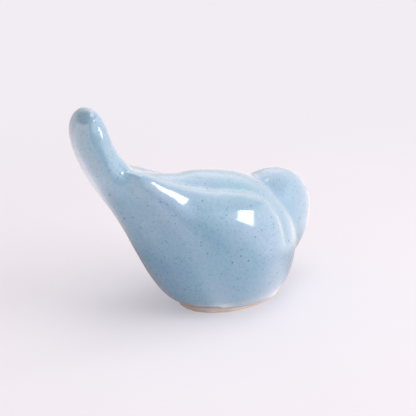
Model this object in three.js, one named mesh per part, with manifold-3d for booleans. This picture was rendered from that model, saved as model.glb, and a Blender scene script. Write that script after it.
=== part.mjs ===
// Glazed stoneware bird with a cocked tail, made of clay parts luted together before the firing.
// Millimetres. +X is where the bird looks, +Y is its left, +Z is up; the origin is the middle of the foot.
import * as THREE from "three";
import { mergeVertices } from "three/addons/utils/BufferGeometryUtils.js";
import Module from "manifold-3d";

const wasm = await Module();
wasm.setup();

// Main sizes
const birdLength = 106; // tail to beak, near enough
const birdWidth = 50; // across the wings
const birdHeight = 85; // foot to the tip of the tail

// Clay walls and joints
const wall = 5; // of the hollow body
const slipGap = 0.3; // room for slip in every luted joint
const footThickness = 4; // slab under the hollow
const seamHeight = 20; // where the belly bowl meets the back shell
const ventRadius = 1.5; // lets the hollow breathe in the kiln
const ventForward = 6; // vent, from the middle of the foot

// Body and tail as one outline seen from the side. Each station pairs a point of the back with one of
// the belly, in hundredths of the bird's length and height, and has a half width in hundredths of its
// width.
const bodyStations = [
  { upper: [26, 20.5], halfWidth: 0 },
  { upper: [23.5, 38.5], lower: [20.5, 1], halfWidth: 25.5 },
  { upper: [16, 50], lower: [7.5, -6], halfWidth: 41 },
  { upper: [5.5, 57.5], lower: [-12, -3], halfWidth: 46 },
  { upper: [-10.5, 62], lower: [-26.5, 10.5], halfWidth: 37 },
  { upper: [-21, 63], lower: [-42, 44], halfWidth: 22.5 },
  { upper: [-41, 71.5], lower: [-56, 73], halfWidth: 16.5 },
  { upper: [-50, 94.5], lower: [-60, 90.5], halfWidth: 14.5 },
  { upper: [-55, 99], halfWidth: 0 },
];
const waist = 0.48; // share of a section's height at which it is widest
const tailStart = 0.68; // share of the way from breast to tip at which the tail is set on
const tailTenonRadius = 4.5;
const tailTenonLength = 8;

// Left wing in the same way, from the shoulder to the tip beside the tail, with each section's distance y
// from the bird's middle plane in hundredths of its width; the right wing is the mirror image.
const wingStations = [
  { y: 29.5, upper: [13.5, 23.5], halfWidth: 0 },
  { y: 30.5, upper: [10.5, 40], lower: [5.5, 12], halfWidth: 15 },
  { y: 30.5, upper: [6, 50], lower: [-7.5, 12], halfWidth: 19.5 },
  { y: 28, upper: [-3, 55], lower: [-21, 26], halfWidth: 17 },
  { y: 23, upper: [-15.5, 58], lower: [-31, 44.5], halfWidth: 12.5 },
  { y: 19, upper: [-31, 66], lower: [-39.5, 60], halfWidth: 9 },
  { y: 15, upper: [-44, 72.5], halfWidth: 0 },
];
const seatDepth = 2.5; // how deep wings and head are sunk in the clay under them

// Head: an egg half sunk in the breast, with its axis turned to the bird's left and rising forward
const headLength = 53.5;
const headWidth = 26;
const headDepth = 41.5; // crown to throat
const headForward = 0.149 * birdLength; // middle of the egg
const headHeight = 0.301 * birdHeight;
const headTurn = 12; // degrees
const headRise = 18; // degrees
const neckTenonRadius = 4;
const neckTenonLength = 11;

// Beak and eyes
const beakRadius = 2.8; // where it leaves the head
const beakLength = 3.5; // past the head
const beakTaper = 0.8; // 1 is a plain cone, less is blunter
const beakDip = 20; // degrees that it dips from the head's axis
const beakSeatDepth = 1.5;
const eyeRadius = 1; // pricked eyes
const eyeTurn = 28; // degrees round the egg from its axis
const eyeRise = 10; // degrees above its axis

// Glaze and bare clay
const glazeColour = "#8fb1c7";
const glazeRoughness = 0.15;
const clayColour = "#c6b4aa";
const clayRoughness = 0.85;

// Fineness of the mesh
const bodySteps = 42;
const bodySides = 34;
const innerSteps = 26;
const innerSides = 22;
const wingSteps = 24;
const wingSides = 22;
const headSides = 28;
const pegSides = 20;
const beakSteps = 6;
const weldReach = 1e-4;
const cutterReach = 200; // more than the whole bird

const upward = new THREE.Vector3(0, 0, 1);
const downward = new THREE.Vector3(0, 0, -1);
const pegAxis = new THREE.Vector3(0, 1, 0); // along which three.js makes cylinders and lathed forms

// The section of a form at a share of the way from its first station to its last. The squares of the
// widths are blended, which rounds both ends.
function sectionsOf(stations, side) {
  const point = (s, [x, z]) => new THREE.Vector3(
    x * birdLength, side * (s.y ?? 0) * birdWidth, z * birdHeight,
  ).divideScalar(100);
  const uppers = stations.map((s) => point(s, s.upper));
  const lowers = stations.slice(1, -1).map((s) => point(s, s.lower)).reverse();
  const outline = new THREE.CatmullRomCurve3([...uppers, ...lowers], true, "catmullrom");
  const squares = stations.map((s) => new THREE.Vector3(s.halfWidth ** 2, 0, 0));
  const widths = new THREE.CatmullRomCurve3(squares, false, "catmullrom");
  return (t) => {
    const top = outline.getPoint(t / 2);
    const bottom = outline.getPoint(1 - t / 2);
    const middle = bottom.clone().lerp(top, waist);
    const halfWidth = (Math.sqrt(Math.max(widths.getPoint(t).x, 0)) * birdWidth) / 100;
    return { middle, up: top.sub(middle), down: middle.clone().sub(bottom), halfWidth };
  };
}

// A smooth closed form over sections
function loft(sectionAt, steps, sides) {
  const points = [sectionAt(0).middle];
  for (let i = 1; i < steps; i++) {
    const { middle, up, down, halfWidth } = sectionAt((1 - Math.cos((Math.PI * i) / steps)) / 2);
    for (let k = 0; k < sides; k++) {
      const angle = (2 * Math.PI * k) / sides;
      const rise = Math.sin(angle);
      const point = middle.clone().addScaledVector(rise > 0 ? up : down, rise);
      point.y += Math.cos(angle) * halfWidth;
      points.push(point);
    }
  }
  points.push(sectionAt(1).middle);
  const ring = (i, k) => 1 + (i - 1) * sides + (k % sides);
  const last = points.length - 1;
  const faces = [];
  for (let k = 0; k < sides; k++) {
    faces.push(0, ring(1, k), ring(1, k + 1));
    for (let i = 1; i < steps - 1; i++) {
      faces.push(ring(i, k), ring(i + 1, k), ring(i, k + 1));
      faces.push(ring(i, k + 1), ring(i + 1, k), ring(i + 1, k + 1));
    }
    faces.push(last, ring(steps - 1, k + 1), ring(steps - 1, k));
  }
  const form = new THREE.BufferGeometry().setFromPoints(points);
  form.setIndex(faces);
  return form;
}

function welded(geometry) {
  const plain = geometry.clone();
  plain.deleteAttribute("normal");
  plain.deleteAttribute("uv");
  return mergeVertices(plain, weldReach);
}

function solid(geometry) {
  const form = welded(geometry);
  const mesh = new wasm.Mesh({
    numProp: 3,
    vertProperties: new Float32Array(form.getAttribute("position").array),
    triVerts: new Uint32Array(form.index.array),
  });
  return new wasm.Manifold(mesh);
}

// The form as a solid with its skin moved out along its normals, or in where the distance is negative
function grown(geometry, distance) {
  const form = welded(geometry);
  form.computeVertexNormals();
  const place = form.getAttribute("position");
  const normal = form.getAttribute("normal");
  const point = new THREE.Vector3();
  const away = new THREE.Vector3();
  for (let i = 0; i < place.count; i++) {
    point.fromBufferAttribute(place, i);
    point.addScaledVector(away.fromBufferAttribute(normal, i), distance);
    place.setXYZ(i, point.x, point.y, point.z);
  }
  return solid(form);
}

// All space on the side of a plane that the direction points to
function halfSpace(point, direction) {
  const box = new THREE.BoxGeometry(cutterReach, cutterReach, cutterReach);
  box.translate(0, 0, cutterReach / 2);
  box.applyQuaternion(new THREE.Quaternion().setFromUnitVectors(upward, direction));
  box.translate(point.x, point.y, point.z);
  return solid(box);
}

const above = (height) => halfSpace(new THREE.Vector3(0, 0, height), upward);
const below = (height) => halfSpace(new THREE.Vector3(0, 0, height), downward);

// Turns a form made along the peg axis to a direction and sets its start at a point
function aimed(geometry, start, direction) {
  geometry.applyQuaternion(new THREE.Quaternion().setFromUnitVectors(pegAxis, direction));
  geometry.translate(start.x, start.y, start.z);
  return geometry;
}

function peg(radius, length, start, direction) {
  const form = new THREE.CylinderGeometry(radius, radius, length, pegSides);
  form.translate(0, length / 2, 0);
  return solid(aimed(form, start, direction));
}

// Outer forms, each whole; the pieces are cut from these
const bodyAt = sectionsOf(bodyStations, 1);
const bodyForm = loft(bodyAt, bodySteps, bodySides);
const innerForm = loft(bodyAt, innerSteps, innerSides);
const leftWingForm = loft(sectionsOf(wingStations, 1), wingSteps, wingSides);
const rightWingForm = loft(sectionsOf(wingStations, -1), wingSteps, wingSides);

const headPlace = new THREE.Matrix4()
  .makeTranslation(headForward, 0, headHeight)
  .multiply(new THREE.Matrix4().makeRotationZ(THREE.MathUtils.degToRad(headTurn)))
  .multiply(new THREE.Matrix4().makeRotationY(-THREE.MathUtils.degToRad(headRise)));
const headForm = new THREE.SphereGeometry(1, headSides, headSides / 2);
headForm.scale(headLength / 2, headWidth / 2, headDepth / 2);
headForm.applyMatrix4(headPlace);
const rootReach = headLength / 4; // from the middle of the head to the start of beak and tenon
const headRoot = new THREE.Vector3(rootReach, 0, 0).applyMatrix4(headPlace);
const throatward = new THREE.Vector3(-1, 0, 0).transformDirection(headPlace);

const beakProfile = [new THREE.Vector2(0, 0), new THREE.Vector2(beakRadius, 0)];
for (let i = 0; i <= beakSteps; i++) {
  const share = i / beakSteps;
  const reach = headLength / 2 - rootReach + beakLength * share;
  beakProfile.push(new THREE.Vector2(beakRadius * (1 - share) ** beakTaper, reach));
}
const dip = THREE.MathUtils.degToRad(beakDip);
const beakward = new THREE.Vector3(Math.cos(dip), 0, -Math.sin(dip)).transformDirection(headPlace);
const beakForm = aimed(new THREE.LatheGeometry(beakProfile, pegSides), headRoot, beakward);

// Seats: where a part is sunk in another, its outline goes in to the seat's depth and no further
const underSeat = grown(innerForm, -seatDepth);
const seatFloor = grown(innerForm, -seatDepth - slipGap);
const seatOf = (form) => grown(form, slipGap).subtract(seatFloor);
const sunk = (form) => grown(form, 0).subtract(underSeat);

// The tail is cut off along one section and set back on with a tenon
const { middle: tailRoot, up: rootUp } = bodyAt(tailStart);
const tailward = new THREE.Vector3(-rootUp.z, 0, rootUp.x).normalize();
const headward = tailward.clone().negate();
const behindRoot = halfSpace(tailRoot.clone().addScaledVector(tailward, slipGap / 2), tailward);
const beforeRoot = (distance) => halfSpace(tailRoot.clone().addScaledVector(headward, distance), headward);
const tailTenonStart = tailRoot.clone().addScaledVector(tailward, tailTenonRadius);
const tailTenon = (gap) => peg(
  tailTenonRadius + gap, tailTenonRadius + tailTenonLength + gap, tailTenonStart, headward,
);
const neckTenon = (gap) => peg(neckTenonRadius + gap, neckTenonLength + gap, headRoot, throatward);

const hollow = grown(innerForm, -wall)
  .intersect(above(footThickness))
  .intersect(beforeRoot(tailTenonLength + wall));
const clay = grown(bodyForm, 0).intersect(above(0));
const shell = clay
  .subtract(hollow)
  .subtract(seatOf(leftWingForm))
  .subtract(seatOf(rightWingForm))
  .subtract(seatOf(headForm));

const vent = peg(ventRadius, footThickness * 2, new THREE.Vector3(ventForward, 0, -footThickness / 2), upward);
const footSlab = clay.intersect(below(footThickness)).subtract(vent);
const bellyBowl = shell.intersect(above(footThickness + slipGap)).intersect(below(seamHeight - slipGap / 2));
const backShell = shell
  .intersect(above(seamHeight + slipGap / 2))
  .intersect(beforeRoot(slipGap / 2))
  .subtract(tailTenon(slipGap))
  .subtract(neckTenon(slipGap));
const tail = shell.intersect(behindRoot).add(tailTenon(0));

const headSkin = grown(headForm, slipGap);
const leftWing = sunk(leftWingForm).subtract(headSkin);
const rightWing = sunk(rightWingForm).subtract(headSkin);

const beakSeat = grown(beakForm, slipGap).subtract(grown(headForm, -beakSeatDepth - slipGap));
const beak = grown(beakForm, 0).subtract(grown(headForm, -beakSeatDepth));
let head = sunk(headForm).add(neckTenon(0)).subtract(beakSeat);
for (const side of [1, -1]) {
  const turn = THREE.MathUtils.degToRad(eyeTurn);
  const rise = THREE.MathUtils.degToRad(eyeRise);
  const level = Math.cos(rise) / 2;
  const spot = new THREE.Vector3(
    headLength * Math.cos(turn) * level,
    side * headWidth * Math.sin(turn) * level,
    (headDepth * Math.sin(rise)) / 2,
  ).applyMatrix4(headPlace);
  const eye = new THREE.SphereGeometry(eyeRadius, pegSides / 2, pegSides / 2);
  eye.translate(spot.x, spot.y, spot.z);
  head = head.subtract(solid(eye));
}

function piece(name, manifold, colour, roughness) {
  const cut = manifold.getMesh();
  const geometry = new THREE.BufferGeometry();
  geometry.setAttribute("position", new THREE.Float32BufferAttribute(cut.vertProperties, 3));
  geometry.setIndex(Array.from(cut.triVerts));
  geometry.computeVertexNormals();
  const material = new THREE.MeshStandardMaterial({ color: colour, roughness, metalness: 0 });
  const mesh = new THREE.Mesh(geometry, material);
  mesh.name = name;
  return mesh;
}

const bird = new THREE.Group();
bird.name = "bird";
bird.add(piece("foot_slab", footSlab, clayColour, clayRoughness));
bird.add(piece("belly_bowl", bellyBowl, glazeColour, glazeRoughness));
bird.add(piece("back_shell", backShell, glazeColour, glazeRoughness));
bird.add(piece("tail", tail, glazeColour, glazeRoughness));
bird.add(piece("left_wing", leftWing, glazeColour, glazeRoughness));
bird.add(piece("right_wing", rightWing, glazeColour, glazeRoughness));
bird.add(piece("head", head, glazeColour, glazeRoughness));
bird.add(piece("beak", beak, glazeColour, glazeRoughness));

export default bird;
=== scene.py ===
import math
import bmesh
import bpy
import numpy
from mathutils import Matrix, Quaternion, Vector
from mathutils.bvhtree import BVHTree


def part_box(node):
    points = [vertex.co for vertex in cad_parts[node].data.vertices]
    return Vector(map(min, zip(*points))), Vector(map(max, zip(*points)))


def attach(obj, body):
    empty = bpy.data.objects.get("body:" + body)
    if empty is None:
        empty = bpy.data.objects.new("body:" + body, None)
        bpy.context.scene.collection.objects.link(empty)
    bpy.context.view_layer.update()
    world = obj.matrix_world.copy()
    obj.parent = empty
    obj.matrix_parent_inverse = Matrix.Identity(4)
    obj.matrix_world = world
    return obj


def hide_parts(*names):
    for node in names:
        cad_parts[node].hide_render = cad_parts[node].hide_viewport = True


# Glazed stoneware bird on a pale floor, dressed over the packed clay parts
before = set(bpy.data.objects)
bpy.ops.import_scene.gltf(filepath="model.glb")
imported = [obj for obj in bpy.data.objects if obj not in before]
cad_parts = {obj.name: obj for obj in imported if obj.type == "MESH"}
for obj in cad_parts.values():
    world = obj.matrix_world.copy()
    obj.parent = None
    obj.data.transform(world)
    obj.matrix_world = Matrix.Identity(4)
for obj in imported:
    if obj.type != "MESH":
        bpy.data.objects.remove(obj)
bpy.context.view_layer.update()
mm = 0.001  # the scene is in metres, sizes below are in millimetres
weld = 0.002  # closer than this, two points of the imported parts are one
scene = bpy.context.scene
glazedParts = ["belly_bowl", "back_shell", "tail", "left_wing", "right_wing", "head", "beak"]
wingParts = ["left_wing", "right_wing"]
bodyParts = ["belly_bowl", "back_shell", "tail", "head"]  # what the wings lie against
print("frame: loaded", len(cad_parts), "clay parts")


def linear(code):  # sRGB hex to the linear colour that the shaders take
    parts = [int(code[i:i + 2], 16) / 255 for i in (1, 3, 5)]
    return [c / 12.92 if c < 0.04045 else ((c + 0.055) / 1.055) ** 2.4 for c in parts] + [1]


def tones(pairs):  # Color Ramp stops from places and hex colours
    return [(place, linear(code)) for place, code in pairs]


def perMetre(size):  # texture scale for cells of a size in millimetres
    return 1 / (size * mm)


def addNode(tree, kind, settings=(), values=(), links=(), stops=()):
    node = tree.nodes.new(kind)
    for name, value in dict(settings).items():
        setattr(node, name, value)
    for socket, value in dict(values).items():
        node.inputs[socket].default_value = value
    for socket, source in dict(links).items():
        tree.links.new(source, node.inputs[socket])
    if stops:
        elements = node.color_ramp.elements
        while len(elements) < len(stops):
            elements.new(0.5)
        for element, (place, colour) in zip(elements, stops):
            element.position = place
            element.color = colour
    return node


# A Mix node's sockets share their names, so they go by number: two inputs and the output
colourA, colourB, colourMixed = 6, 7, 2
levelA, levelB, levelMixed = 2, 3, 0


def newMaterial(name):
    material = bpy.data.materials.new(name)
    material.use_nodes = True
    material.node_tree.nodes.clear()
    return material, material.node_tree


def meshObject(name, bm):
    mesh = bpy.data.meshes.new(name)
    bm.to_mesh(mesh)
    bm.free()
    obj = bpy.data.objects.new(name, mesh)
    scene.collection.objects.link(obj)
    return obj


def eased(value, start, end):  # 0 before the start, 1 past the end, smooth between
    share = min(max((value - start) / (end - start), 0), 1)
    return share * share * (3 - 2 * share)


def takeModifiers(obj):  # makes what the modifiers show the object's own mesh
    shown = obj.evaluated_get(bpy.context.evaluated_depsgraph_get())
    mesh = bpy.data.meshes.new_from_object(shown)
    obj.modifiers.clear()
    obj.data = mesh


def clayCopy(names, swell=0):  # merged copy of clay parts, with the skin moved out
    bm = bmesh.new()
    for name in names:
        bm.from_mesh(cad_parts[name].data)
    bmesh.ops.remove_doubles(bm, verts=bm.verts, dist=weld * mm)
    bm.normal_update()
    for v in bm.verts:
        v.co += v.normal * swell * mm
    return bm


def grow(bm, edges):  # extrudes a closed row of edges; gives the new points and the new row
    grown = bmesh.ops.extrude_edge_only(bm, edges=edges)["geom"]
    verts = [g for g in grown if isinstance(g, bmesh.types.BMVert)]
    fresh = set(verts)
    row = [g for g in grown if isinstance(g, bmesh.types.BMEdge) and fresh.issuperset(g.verts)]
    return verts, row


def orderedLoop(edges):  # the points of a closed row of edges, one after the other
    start = edges[0].verts[0]
    row = set(edges)
    loop = [start]
    while row:
        following = next((e for e in loop[-1].link_edges if e in row), None)
        if following is None:
            break
        row.remove(following)
        loop.append(following.other_vert(loop[-1]))
    return [v.co.copy() for v in loop[:-1]]


# Glaze coat: one skin of glass over all the luted parts
coat = {
    "swell": 0.32,  # closes the slip joints under the coat
    "voxel": 1,
    "thickness": 0.3,
    "smoothing": 0.5,  # factor of every smoothing pass
    "evenOut": 16,  # passes all over
    "beakReach": 6,  # round the beak, which is smoothed less
    "beakShare": 0.4,
    "meltPasses": 300,  # more where the wing runs out on the flank
    "meltReach": 11,
    "meltFacing": (0.75, 0.35),  # rise of the normal: faces that look up stay, those that look out melt
    "shoulderAhead": (4, 11),  # ahead of this and
    "shoulderAbove": (12, 22),  # above this the joint at the shoulder stays
    "tipBehind": (-28, -42),  # behind this and
    "tipAbove": (46, 55),  # above this the tip of the wing
    "tipShare": 0.4,  # stays by this share
    "tailBehind": (-56, -44),  # and behind this the tail stays
    "thumbMarks": (  # left in the soft clay: place, reach, height
        ((-27, -16, 47.5), 7, -1.2),  # pressed under the crest of the right wing
        ((-30, -16, 45.5), 7, 1.1),  # clay pushed back from there
        ((-21, -17.5, 45), 7, 0.9),  # and ahead
        ((-12, -20, 42), 9, 0.5),
        ((-46, 1, 63), 7, 1.4),  # clay worked on at the root of the tail
        ((-40.5, -12, 53), 6, 1),  # and down its right side
        ((-44.5, -11, 57.5), 4.5, 1.2),
        ((-39.5, -9, 60), 9, -0.7),  # pressed in at the tip of the wing
        ((-38, -9, 58.5), 3.5, 0.5),  # with a ridge left in the middle
        ((-59.5, -7, 76), 4.5, -0.8),  # pinched near the tip of the tail
        ((-57.5, -7, 79.5), 3, -0.8),
    ),
    "edgeHeight": 1,  # wiped glaze edge above the foot
    "edgeSlack": 0.001,  # of the cut along it
    "edgeBand": 0.05,  # above the cut, which the smoothing leaves alone
    "edgeRise": 1.1,  # more where the sponge went further up
    "edgeTurn": 210,  # degrees, where it did
    "edgeSpread": 50,
    "edgeWave": 0.07,  # unsteady hand
    "edgeWaves": 5,  # all round
    "edgeFade": 6,  # height at which the rows of the coat keep their place
    "edgeLip": 0.4,  # how far the glaze stands out from the bare clay
    "slabTop": 4,  # of the clay slab, where the coat is closed
}


def connectedSkins(bm):  # sets of points that edges connect, the largest last
    skins = []
    left = set(bm.verts)
    while left:
        skin = {left.pop()}
        front = list(skin)
        while front:
            near = {e.other_vert(v) for v in front for e in v.link_edges} & left
            left -= near
            skin |= near
            front = list(near)
        skins.append(skin)
    return sorted(skins, key=len)


def castSkin():  # one skin around all the parts, open at the wiped edge
    obj = meshObject("glaze_coat", clayCopy(["foot_slab"] + glazedParts, coat["swell"]))
    remesh = obj.modifiers.new("oneSkin", "REMESH")
    remesh.mode = "VOXEL"
    remesh.voxel_size = coat["voxel"] * mm
    takeModifiers(obj)
    bm = bmesh.new()
    bm.from_mesh(obj.data)
    everything = bm.verts[:] + bm.edges[:] + bm.faces[:]
    bmesh.ops.bisect_plane(bm, geom=everything, dist=coat["edgeSlack"] * mm, clear_inner=True,
                           plane_co=(0, 0, coat["edgeHeight"] * mm), plane_no=(0, 0, 1))
    skins = connectedSkins(bm)
    inside = [v for skin in skins[:-1] for v in skin]  # the hollow and the vent, which get no glaze
    bmesh.ops.delete(bm, geom=inside, context="VERTS")
    bm.to_mesh(obj.data)
    bm.free()
    print("glaze coat: skins", [len(skin) for skin in skins])
    return obj


def meltWeight(v, joint):  # how much a point near the joint of a wing runs into the flank
    x, z = v.co.x / mm, v.co.z / mm
    sideways = eased(v.normal.z, *coat["meltFacing"])
    shoulder = eased(x, *coat["shoulderAhead"]) * eased(z, *coat["shoulderAbove"])
    wingTip = eased(x, *coat["tipBehind"]) * eased(z, *coat["tipAbove"])
    allowed = (1 - shoulder) * (1 - coat["tipShare"] * wingTip) * eased(x, *coat["tailBehind"])
    return math.exp(-(joint / coat["meltReach"]) ** 2) * sideways * allowed


def smoothSkin(obj):  # evens out the skin, then melts the lower edge of each wing into the flank
    wings, body = clayCopy(wingParts), clayCopy(bodyParts)
    wingTree, bodyTree = BVHTree.FromBMesh(wings), BVHTree.FromBMesh(body)
    even = obj.vertex_groups.new(name="even")
    melt = obj.vertex_groups.new(name="melt")
    beakLow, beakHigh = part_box("beak")
    beakMiddle = (beakLow + beakHigh) / 2
    for v in obj.data.vertices:
        atEdge = v.co.z < (coat["edgeHeight"] + coat["edgeBand"]) * mm
        nearBeak = (v.co - beakMiddle).length < coat["beakReach"] * mm
        joint = max(wingTree.find_nearest(v.co)[3], bodyTree.find_nearest(v.co)[3]) / mm
        even.add([v.index], 0 if atEdge else coat["beakShare"] if nearBeak else 1, "REPLACE")
        melt.add([v.index], 0 if atEdge else meltWeight(v, joint), "REPLACE")
    wings.free()
    body.free()
    for name, passes in (("even", coat["evenOut"]), ("melt", coat["meltPasses"])):
        smooth = obj.modifiers.new(name, "SMOOTH")
        smooth.vertex_group = name
        smooth.iterations = passes
        smooth.factor = coat["smoothing"]
    takeModifiers(obj)
    obj.vertex_groups.clear()


def markSkin(bm):  # gives the coat its own thickness and the thumb marks under it
    bm.normal_update()
    for v in bm.verts:
        height = coat["thickness"] - coat["swell"]
        for place, reach, mark in coat["thumbMarks"]:
            height += mark * math.exp(-((v.co / mm - Vector(place)).length / reach) ** 2)
        v.co += v.normal * height * mm


def wipeEdge(bm, middle):  # lifts the edge to the wavy line at which the sponge stopped
    for v in bm.verts:
        fall = 1 - eased(v.co.z / mm, coat["edgeHeight"], coat["edgeFade"])
        if fall > 0:
            turn = math.degrees(math.atan2(v.co.y - middle.y, v.co.x - middle.x)) - coat["edgeTurn"]
            turn = (turn + 180) % 360 - 180
            wiped = coat["edgeRise"] * math.exp(-(turn / coat["edgeSpread"]) ** 2)
            wave = coat["edgeWave"] * math.cos(math.radians(coat["edgeWaves"] * turn))
            v.co.z += (wiped + wave) * fall * mm


def seatCoat(bm, rim, middle, shrink):  # turns the edge in and closes the coat on top of the slab
    lip, lipRow = grow(bm, rim)
    bmesh.ops.scale(bm, vec=(shrink, shrink, 1), verts=lip, space=Matrix.Translation(-middle))
    seat, seatRow = grow(bm, lipRow)
    for v in seat:
        v.co.z = coat["slabTop"] * mm
    bmesh.ops.triangle_fill(bm, edges=seatRow, use_beauty=True)
    bmesh.ops.recalc_face_normals(bm, faces=bm.faces)


def buildCoat():
    obj = castSkin()
    smoothSkin(obj)
    bm = bmesh.new()
    bm.from_mesh(obj.data)
    crease = bm.edges.layers.float.new("crease_edge")
    markSkin(bm)
    rim = [e for e in bm.edges if e.is_boundary]
    rimVerts = list({v for e in rim for v in e.verts})
    middle = sum((v.co for v in rimVerts), Vector()) / len(rimVerts)
    wipeEdge(bm, middle)
    outline = orderedLoop(rim)
    reach = max((v.co - middle).length for v in rimVerts)
    shrink = 1 - coat["edgeLip"] * mm / reach
    for edge in rim:  # crisp where the sponge stopped
        edge[crease] = 1
        edge.smooth = False
    seatCoat(bm, rim, middle, shrink)
    for face in bm.faces:
        face.smooth = True
    bm.to_mesh(obj.data)
    bm.free()
    fine = obj.modifiers.new("fine", "SUBSURF")
    fine.levels = fine.render_levels = 1
    return obj, outline, middle, shrink


# Bare foot: the slab that the coat stops above, with eased edge and vent
foot = {
    "ventRadius": 1.5,
    "ventForward": 6,
    "ventSides": 32,
    "steps": (  # height, share of the outline
        (0, 0.965),
        (0.2, 0.98),
        (0.5, 0.992),
        (0.9, 0.997),
        (coat["slabTop"], 0.997),
    ),
}


def buildFoot(outline, middle, shrink):
    bm = bmesh.new()
    firstHeight, shareNow = foot["steps"][0]
    ring = []
    for point in outline:
        flat = middle + (point - middle) * shrink * shareNow
        ring.append(bm.verts.new((flat.x, flat.y, firstHeight * mm)))
    base = [bm.edges.new((a, b)) for a, b in zip(ring, ring[1:] + ring[:1])]
    top = base
    for height, share in foot["steps"][1:]:
        verts, top = grow(bm, top)
        bmesh.ops.scale(bm, vec=(share / shareNow, share / shareNow, 1), verts=verts,
                        space=Matrix.Translation(-middle))
        for v in verts:
            v.co.z = height * mm
        shareNow = share
    ventPlace = Matrix.Translation((foot["ventForward"] * mm, 0, 0))
    circle = bmesh.ops.create_circle(bm, segments=foot["ventSides"], radius=foot["ventRadius"] * mm,
                                     matrix=ventPlace)["verts"]
    ventBase = list({e for v in circle for e in v.link_edges})
    ventVerts, ventTop = grow(bm, ventBase)
    for v in ventVerts:
        v.co.z = coat["slabTop"] * mm
    bmesh.ops.triangle_fill(bm, edges=base + ventBase, use_beauty=True, normal=(0, 0, -1))
    bmesh.ops.triangle_fill(bm, edges=top + ventTop, use_beauty=True, normal=(0, 0, 1))
    bmesh.ops.recalc_face_normals(bm, faces=bm.faces)
    return meshObject("bare_foot", bm)


# Pooling and painted top light: glaze gathers in hollows (1) and runs thin on ridges (0), and upper faces
# are pushed towards 0, paler, as painted light from above
poolingAndTopLight = {
    "passes": 40,  # smoothing of the form that hollows and ridges are measured from
    "most": 1.6,  # depth of the deepest hollow
    "paintedTopLight": 0.2,  # share by which upper faces are made paler: painted top light
}


def notePoolingAndTopLight(obj):
    mesh = obj.data
    count = len(mesh.vertices)
    place = numpy.empty(count * 3)
    mesh.vertices.foreach_get("co", place)
    place = place.reshape(-1, 3)
    normal = numpy.empty(count * 3)
    mesh.vertices.foreach_get("normal", normal)
    normal = normal.reshape(-1, 3)
    ends = numpy.empty(len(mesh.edges) * 2, dtype=int)
    mesh.edges.foreach_get("vertices", ends)
    one, other = ends.reshape(-1, 2).T
    links = numpy.bincount(ends, minlength=count)[:, None]
    flat = place.copy()
    for _ in range(poolingAndTopLight["passes"]):
        total = numpy.zeros_like(flat)
        numpy.add.at(total, one, flat[other])
        numpy.add.at(total, other, flat[one])
        flat = total / links
    hollow = ((flat - place) * normal).sum(axis=1) / mm
    # painted top light: the higher a face looks, the lower its value and the paler its glaze
    paintedTopLight = poolingAndTopLight["paintedTopLight"] * normal[:, 2]
    poolAndTopLight = mesh.attributes.new("poolAndTopLight", "FLOAT", "POINT")
    poolAndTopLight.data.foreach_set("value", numpy.clip(0.5 + hollow / poolingAndTopLight["most"] / 2 - paintedTopLight, 0, 1))


# Eyes pricked in the soft clay, which the coat runs into
eyes = {
    "places": ((35.1, 10.2, 36.2), (37.6, -1.5, 36.2)),  # on the skin of the head
    "radius": 1.1,
    "depth": 0.9,
    "steepness": 1.2,
    "fade": 2,  # radii from the middle, past which nothing moves
    "reach": 2.6,  # of the finer mesh around the prick
    "cuts": 3,  # that make it finer
}


def pressEyes(obj):
    bm = bmesh.new()
    bm.from_mesh(obj.data)
    for place in eyes["places"]:
        spot = Vector(place) * mm
        near = [e for e in bm.edges if all((v.co - spot).length < eyes["reach"] * mm for v in e.verts)]
        bmesh.ops.subdivide_edges(bm, edges=near, cuts=eyes["cuts"], use_grid_fill=True)
        bm.normal_update()
        centre = min(bm.verts, key=lambda v: (v.co - spot).length)
        inward = -centre.normal
        start = centre.co.copy()
        for v in bm.verts:
            share = (v.co - start).length / (eyes["radius"] * mm)
            if share < eyes["fade"]:
                v.co += inward * eyes["depth"] * mm * math.exp(-(share * eyes["steepness"]) ** 2)
    for face in bm.faces:
        face.smooth = True
    bm.to_mesh(obj.data)
    bm.free()


coatObj, outline, rimMiddle, rimShrink = buildCoat()
notePoolingAndTopLight(coatObj)
pressEyes(coatObj)
footObj = buildFoot(outline, rimMiddle, rimShrink)
for piece, nodes, slot in ((coatObj, glazedParts, "glaze"), (footObj, ["foot_slab"], "bare_clay")):
    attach(piece, "root")
    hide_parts(*nodes)
print("glaze coat:", len(coatObj.data.polygons), "faces before the subdivision; foot:",
      len(footObj.data.polygons))

# Dipped and fired stoneware glaze: light blue glass, pale on ridges and, as painted top light, on upper
# faces, deep in hollows, with iron specks
glaze = {
    "depthAndTopLightTones": ((0.1, "#9db5c7"), (0.45, "#83acc4"), (0.8, "#6d9fbc")),  # by pool and painted top light, from thin glaze and upper faces (pale) to gathered glaze (deep)
    "drift": 18,  # width of the slow changes of tone
    "driftTones": ((0.35, "#74abc0"), (0.65, "#93afcb")),
    "driftShare": 0.45,
    "mottle": 1.1,  # width of the small clouds in the glass
    "mottleTones": ((0.3, "#eff3f6"), (0.65, "#ffffff")),
    "specks": (  # cell, radius, strength, colour
        (3.1, 0.5, 0.8, "#3a5d75"),
        (1.6, 0.36, 0.6, "#44708a"),
        (0.8, 0.28, 0.55, "#568199"),
    ),
    "speckLeast": 0.25,  # share of the radius that the smallest have
    "speckEdge": (-0.05, 0.08),  # soft edge, in shares of a cell
    "speckPool": (0.05, 0.3),  # iron shows less through thin glaze and on the upper faces that the painted top light makes paler: values from which and up to which
    "speckThin": 0.35,  # and the share that shows there
    "ripple": 5,  # width of the ripples in the gloss
    "rippleHeight": 0.2,
    "rippleStrength": 0.12,
    "roughness": (0.09, 0.15),
    "ior": 1.62,
    "coatRoughness": 0.045,
    "coatIor": 1.5,
}


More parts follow.
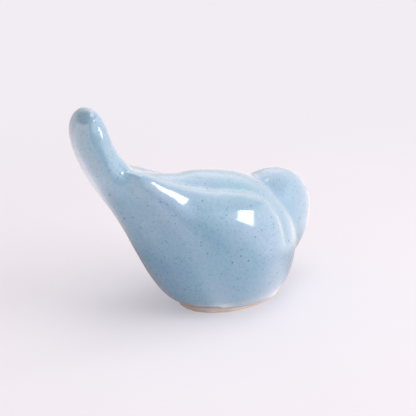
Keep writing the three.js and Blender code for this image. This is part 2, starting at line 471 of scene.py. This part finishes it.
def glassColour(tree, where, poolAndTopLight, drift):  # of the glaze without its specks
    # pale where the glaze is thin and on upper faces, which is painted top light; deep where it gathers
    depth = addNode(tree, "ShaderNodeValToRGB", links={"Fac": poolAndTopLight}, stops=tones(glaze["depthAndTopLightTones"]))
    driftTone = addNode(tree, "ShaderNodeValToRGB", links={"Fac": drift}, stops=tones(glaze["driftTones"]))
    toned = addNode(tree, "ShaderNodeMix", {"data_type": "RGBA"}, {"Factor": glaze["driftShare"]},
                    {colourA: depth.outputs["Color"], colourB: driftTone.outputs["Color"]})
    mottle = addNode(tree, "ShaderNodeTexNoise", {},
                     {"Scale": perMetre(glaze["mottle"]), "Detail": 3, "Roughness": 0.6}, {"Vector": where})
    mottleTone = addNode(tree, "ShaderNodeValToRGB", links={"Fac": mottle.outputs["Fac"]},
                         stops=tones(glaze["mottleTones"]))
    clouded = addNode(tree, "ShaderNodeMix", {"data_type": "RGBA", "blend_type": "MULTIPLY"}, {"Factor": 1},
                      {colourA: toned.outputs[colourMixed], colourB: mottleTone.outputs["Color"]})
    return clouded.outputs[colourMixed]


def ironSpecks(tree, where, poolAndTopLight, colour):  # dark dots of three sizes over a colour
    thinnest, thickest = glaze["speckPool"]
    bloom = addNode(tree, "ShaderNodeMapRange", {},
                    {"From Min": thinnest, "From Max": thickest, "To Min": glaze["speckThin"]},
                    {"Value": poolAndTopLight})
    outer, inner = glaze["speckEdge"]
    for cell, radius, strength, shade in glaze["specks"]:
        dots = addNode(tree, "ShaderNodeTexVoronoi", {}, {"Scale": perMetre(cell)}, {"Vector": where})
        luck = addNode(tree, "ShaderNodeSeparateColor", links={"Color": dots.outputs["Color"]})
        size = addNode(tree, "ShaderNodeMapRange", {},
                       {"To Min": glaze["speckLeast"] * radius / cell, "To Max": radius / cell},
                       {"Value": luck.outputs["Red"]})
        gap = addNode(tree, "ShaderNodeMath", {"operation": "SUBTRACT"}, {},
                      {0: size.outputs["Result"], 1: dots.outputs["Distance"]})
        speck = addNode(tree, "ShaderNodeMapRange", {"interpolation_type": "SMOOTHSTEP"},
                        {"From Min": outer, "From Max": inner, "To Max": strength},
                        {"Value": gap.outputs[0]})
        share = addNode(tree, "ShaderNodeMath", {"operation": "MULTIPLY"}, {},
                        {0: speck.outputs["Result"], 1: bloom.outputs["Result"]})
        colour = addNode(tree, "ShaderNodeMix", {"data_type": "RGBA"}, {colourB: linear(shade)},
                         {"Factor": share.outputs[0], colourA: colour}).outputs[colourMixed]
    return colour


def glazeMaterial():
    material, tree = newMaterial("glossy_stoneware_glaze")
    where = addNode(tree, "ShaderNodeTexCoord").outputs["Object"]
    # the pooling value, which also carries the painted top light on upper faces
    poolAndTopLight = addNode(tree, "ShaderNodeAttribute", {"attribute_name": "poolAndTopLight"}).outputs["Fac"]
    drift = addNode(tree, "ShaderNodeTexNoise", {},
                    {"Scale": perMetre(glaze["drift"]), "Detail": 5, "Roughness": 0.55},
                    {"Vector": where}).outputs["Fac"]
    colour = ironSpecks(tree, where, poolAndTopLight, glassColour(tree, where, poolAndTopLight, drift))
    ripple = addNode(tree, "ShaderNodeTexNoise", {}, {"Scale": perMetre(glaze["ripple"]), "Detail": 2},
                     {"Vector": where})
    bump = addNode(tree, "ShaderNodeBump", {},
                   {"Strength": glaze["rippleStrength"], "Distance": glaze["rippleHeight"] * mm},
                   {"Height": ripple.outputs["Fac"]})
    smoothest, roughest = glaze["roughness"]
    sheen = addNode(tree, "ShaderNodeMapRange", {}, {"To Min": smoothest, "To Max": roughest},
                    {"Value": drift})
    shader = addNode(tree, "ShaderNodeBsdfPrincipled", {},
                     {"IOR": glaze["ior"], "Coat Weight": 1, "Coat Roughness": glaze["coatRoughness"],
                      "Coat IOR": glaze["coatIor"]},
                     {"Base Color": colour, "Roughness": sheen.outputs["Result"],
                      "Normal": bump.outputs["Normal"]})
    addNode(tree, "ShaderNodeOutputMaterial", links={"Surface": shader.outputs["BSDF"]})
    return material


coatObj.data.materials.append(glazeMaterial())
print("glaze: material done")

# Sponged bare stoneware: matt and warm beige, grainy with grog, toasted where the flame reached it
bareClay = {
    "toast": 9,  # width of the toasted clouds
    "toastTones": ((0.35, "#efdccd"), (0.65, "#e2cbba")),
    "grain": 0.35,
    "grainTones": ((0.3, "#efedec"), (0.6, "#ffffff")),
    "grainHeight": 0.08,
    "grainStrength": 0.5,
    "roughness": 0.88,
}


def clayMaterial():
    material, tree = newMaterial("bare_stoneware")
    where = addNode(tree, "ShaderNodeTexCoord").outputs["Object"]
    toast = addNode(tree, "ShaderNodeTexNoise", {}, {"Scale": perMetre(bareClay["toast"]), "Detail": 3},
                    {"Vector": where})
    tone = addNode(tree, "ShaderNodeValToRGB", links={"Fac": toast.outputs["Fac"]},
                   stops=tones(bareClay["toastTones"]))
    grain = addNode(tree, "ShaderNodeTexNoise", {},
                    {"Scale": perMetre(bareClay["grain"]), "Detail": 4, "Roughness": 0.7},
                    {"Vector": where})
    grainTone = addNode(tree, "ShaderNodeValToRGB", links={"Fac": grain.outputs["Fac"]},
                        stops=tones(bareClay["grainTones"]))
    grog = addNode(tree, "ShaderNodeMix", {"data_type": "RGBA", "blend_type": "MULTIPLY"}, {"Factor": 1},
                   {colourA: tone.outputs["Color"], colourB: grainTone.outputs["Color"]})
    bump = addNode(tree, "ShaderNodeBump", {},
                   {"Strength": bareClay["grainStrength"], "Distance": bareClay["grainHeight"] * mm},
                   {"Height": grain.outputs["Fac"]})
    shader = addNode(tree, "ShaderNodeBsdfPrincipled", {}, {"Roughness": bareClay["roughness"]},
                     {"Base Color": grog.outputs[colourMixed], "Normal": bump.outputs["Normal"]})
    addNode(tree, "ShaderNodeOutputMaterial", links={"Surface": shader.outputs["BSDF"]})
    return material


footObj.data.materials.append(clayMaterial())
print("bare clay: material done")

# Camera of the photograph
view = {
    "azimuth": -35,
    "elevation": 21,
    "distance": 480,
    "aim": (1.41, 13.62, 31.17),
    "lens": 108,
    "sensor": 36,
    "nearest": 10,  # closer things aren't drawn
}


def heading(azimuth, elevation):  # direction from the bird, 0 degrees being its right side
    turn, rise = math.radians(azimuth), math.radians(elevation)
    return Vector((math.sin(turn) * math.cos(rise), -math.cos(turn) * math.cos(rise), math.sin(rise)))


def placeCamera():
    back = heading(view["azimuth"], view["elevation"])
    data = bpy.data.cameras.new("camera")
    data.lens = view["lens"]
    data.sensor_width = view["sensor"]
    data.clip_start = view["nearest"] * mm
    camera = bpy.data.objects.new("camera", data)
    camera.location = (Vector(view["aim"]) + back * view["distance"]) * mm
    camera.rotation_mode = "QUATERNION"
    camera.rotation_quaternion = (-back).to_track_quat("-Z", "Y")
    scene.collection.objects.link(camera)
    return camera


scene.camera = placeCamera()
print("camera: placed")

# Studio: pale floor and soft light from all round, which the glaze mirrors at a level for each side
studio = {
    "floorHalf": 3000,
    "floor": "#f1edf3",
    "fibre": "#efebf1",  # faint clouds in the paper
    "fibreWidth": 60,
    "nearShare": 0.35,  # of an even tone near the bird, so that the floor keeps the shadow there
    "evenOut": (100, 300),  # distance from the bird over which the floor turns evenly pale
    "level": 0.6,  # of the light from all round
    "lightTint": "#faf3f3",
    "mirrorTint": "#fff3f3",  # of what the glaze mirrors of the floor
    "around": ((-180, 0.8), (-150, 1.3), (-120, 2.1), (-75, 2), (-45, 1.4), (-12, 0.5), (5, 0.9),
               (30, 1.75), (60, 1.85), (90, 1.4), (125, 1.15), (180, 0.8)),  # azimuth, mirrored level
    "above": ((-180, 0.8), (-160, 0.3), (-20, 0.3), (0, 0.6), (30, 0.9), (75, 1), (90, 1.3), (135, 1.9),
              (160, 1.2), (180, 0.8)),  # the same for what is higher up
    "rise": (0.25, 0.5),  # sines of the elevations between which around passes into above
    "near": ((-180, 0.3), (-85, 0.3), (-60, 0.6), (-38, 1.2), (-15, 0.9), (10, 1), (48, 1.3), (80, 0.7),
             (180, 0.3)),  # the same for the floor close to the bird
    "nearReach": (48, 94),  # distance from the bird over which near passes into around
}


def levelAround(tree, direction, levels):  # level for the side of the bird on which a direction lies
    along = addNode(tree, "ShaderNodeSeparateXYZ", links={"Vector": direction}).outputs
    before = addNode(tree, "ShaderNodeMath", {"operation": "MULTIPLY"}, {1: -1}, {0: along["Y"]})
    turn = addNode(tree, "ShaderNodeMath", {"operation": "ARCTAN2"}, {},
                   {0: along["X"], 1: before.outputs[0]})
    share = addNode(tree, "ShaderNodeMapRange", {}, {"From Min": -math.pi, "From Max": math.pi},
                    {"Value": turn.outputs[0]})
    greys = [((side + 180) / 360, (grey, grey, grey, 1)) for side, grey in levels]
    level = addNode(tree, "ShaderNodeValToRGB", links={"Fac": share.outputs["Result"]}, stops=greys)
    level.color_ramp.interpolation = "EASE"
    return level.outputs["Color"]


def mirroredFloor(tree, where, distance):  # what the glaze shows of the floor
    closest, furthest = studio["nearReach"]
    away = addNode(tree, "ShaderNodeMapRange", {"interpolation_type": "SMOOTHSTEP"},
                   {"From Min": closest * mm, "From Max": furthest * mm}, {"Value": distance})
    level = addNode(tree, "ShaderNodeMix", {"data_type": "FLOAT"}, {},
                    {"Factor": away.outputs["Result"], levelA: levelAround(tree, where, studio["near"]),
                     levelB: levelAround(tree, where, studio["around"])})
    glow = addNode(tree, "ShaderNodeEmission", {}, {"Color": linear(studio["mirrorTint"])},
                   {"Strength": level.outputs[levelMixed]})
    return glow.outputs["Emission"]


def paperMaterial():  # matt white paper with faint clouds of fibre, which shows no gloss
    material, tree = newMaterial("matt_white_paper")
    where = addNode(tree, "ShaderNodeTexCoord").outputs["Object"]
    fibre = addNode(tree, "ShaderNodeTexNoise", {}, {"Scale": perMetre(studio["fibreWidth"]), "Detail": 3},
                    {"Vector": where})
    fibreTone = addNode(tree, "ShaderNodeValToRGB", links={"Fac": fibre.outputs["Fac"]},
                        stops=tones(((0.3, studio["fibre"]), (0.7, studio["floor"]))))
    matt = addNode(tree, "ShaderNodeBsdfPrincipled", {}, {"Roughness": 0.9, "Specular IOR Level": 0.1},
                   {"Base Color": fibreTone.outputs["Color"]})
    distance = addNode(tree, "ShaderNodeVectorMath", {"operation": "LENGTH"}, {},
                       {0: where}).outputs["Value"]
    start, end = studio["evenOut"]
    pale = addNode(tree, "ShaderNodeMapRange", {"interpolation_type": "SMOOTHSTEP"},
                   {"From Min": start * mm, "From Max": end * mm, "To Min": studio["nearShare"]},
                   {"Value": distance})
    path = addNode(tree, "ShaderNodeLightPath").outputs
    seen = addNode(tree, "ShaderNodeMath", {"operation": "MULTIPLY"}, {},
                   {0: path["Is Camera Ray"], 1: pale.outputs["Result"]})
    even = addNode(tree, "ShaderNodeEmission", {}, {"Color": linear(studio["floor"])})
    shown = addNode(tree, "ShaderNodeMixShader", {}, {},
                    {"Fac": seen.outputs[0], 1: matt.outputs["BSDF"], 2: even.outputs["Emission"]})
    surface = addNode(tree, "ShaderNodeMixShader", {}, {},
                      {"Fac": path["Is Glossy Ray"], 1: shown.outputs["Shader"],
                       2: mirroredFloor(tree, where, distance)})
    addNode(tree, "ShaderNodeOutputMaterial", links={"Surface": surface.outputs["Shader"]})
    return material


def studioWorld():
    world = bpy.data.worlds.new("studio")
    world.use_nodes = True
    tree = world.node_tree
    tree.nodes.clear()
    direction = addNode(tree, "ShaderNodeTexCoord").outputs["Generated"]
    height = addNode(tree, "ShaderNodeSeparateXYZ", links={"Vector": direction}).outputs["Z"]
    lowest, highest = studio["rise"]
    over = addNode(tree, "ShaderNodeMapRange", {"interpolation_type": "SMOOTHSTEP"},
                   {"From Min": lowest, "From Max": highest}, {"Value": height})
    mirrored = addNode(tree, "ShaderNodeMix", {"data_type": "FLOAT"}, {},
                       {"Factor": over.outputs["Result"],
                        levelA: levelAround(tree, direction, studio["around"]),
                        levelB: levelAround(tree, direction, studio["above"])})
    path = addNode(tree, "ShaderNodeLightPath").outputs
    strength = addNode(tree, "ShaderNodeMix", {"data_type": "FLOAT"}, {levelA: studio["level"]},
                       {"Factor": path["Is Glossy Ray"], levelB: mirrored.outputs[levelMixed]})
    background = addNode(tree, "ShaderNodeBackground", {}, {"Color": linear(studio["lightTint"])},
                         {"Strength": strength.outputs[levelMixed]})
    addNode(tree, "ShaderNodeOutputWorld", links={"Surface": background.outputs["Background"]})
    return world


bm = bmesh.new()
bmesh.ops.create_grid(bm, x_segments=1, y_segments=1, size=studio["floorHalf"] * mm)
floor = meshObject("pale_floor", bm)
floor.data.materials.append(paperMaterial())
scene.world = studioWorld()
scene.view_settings.view_transform = "Standard"
print("studio: floor and world done")

# Lamps: softboxes that face the bird, the main one small enough to show as a clear glint in the glaze
lampAim = (-10, -10, 45)
lamps = {  # those that are mirrored show in the glaze, the other one only lights
    "main_light": {"azimuth": 36, "elevation": 16, "distance": 1400, "size": (270, 480), "tilt": -36,
                   "power": 2.6, "mirrored": True},
    "top_light": {"azimuth": 60, "elevation": 78, "distance": 900, "size": (700, 700), "tilt": 0,
                  "power": 3, "mirrored": True},
    "side_light": {"azimuth": 40, "elevation": 30, "distance": 1100, "size": (800, 800), "tilt": 0,
                   "power": 5.2, "mirrored": False},
}


def hangLamp(name, azimuth, elevation, distance, size, tilt, power, mirrored):
    light = bpy.data.lights.new(name, "AREA")
    light.shape = "RECTANGLE"
    light.size, light.size_y = size[0] * mm, size[1] * mm
    light.energy = power
    obj = bpy.data.objects.new(name, light)
    towards = heading(azimuth, elevation)
    obj.location = (Vector(lampAim) + towards * distance) * mm
    obj.rotation_mode = "QUATERNION"
    roll = Quaternion((0, 0, 1), math.radians(tilt))
    obj.rotation_quaternion = (-towards).to_track_quat("-Z", "Y") @ roll
    obj.visible_glossy = mirrored
    scene.collection.objects.link(obj)


for name, lamp in lamps.items():
    hangLamp(name, **lamp)
print("lamps:", ", ".join(lamps))
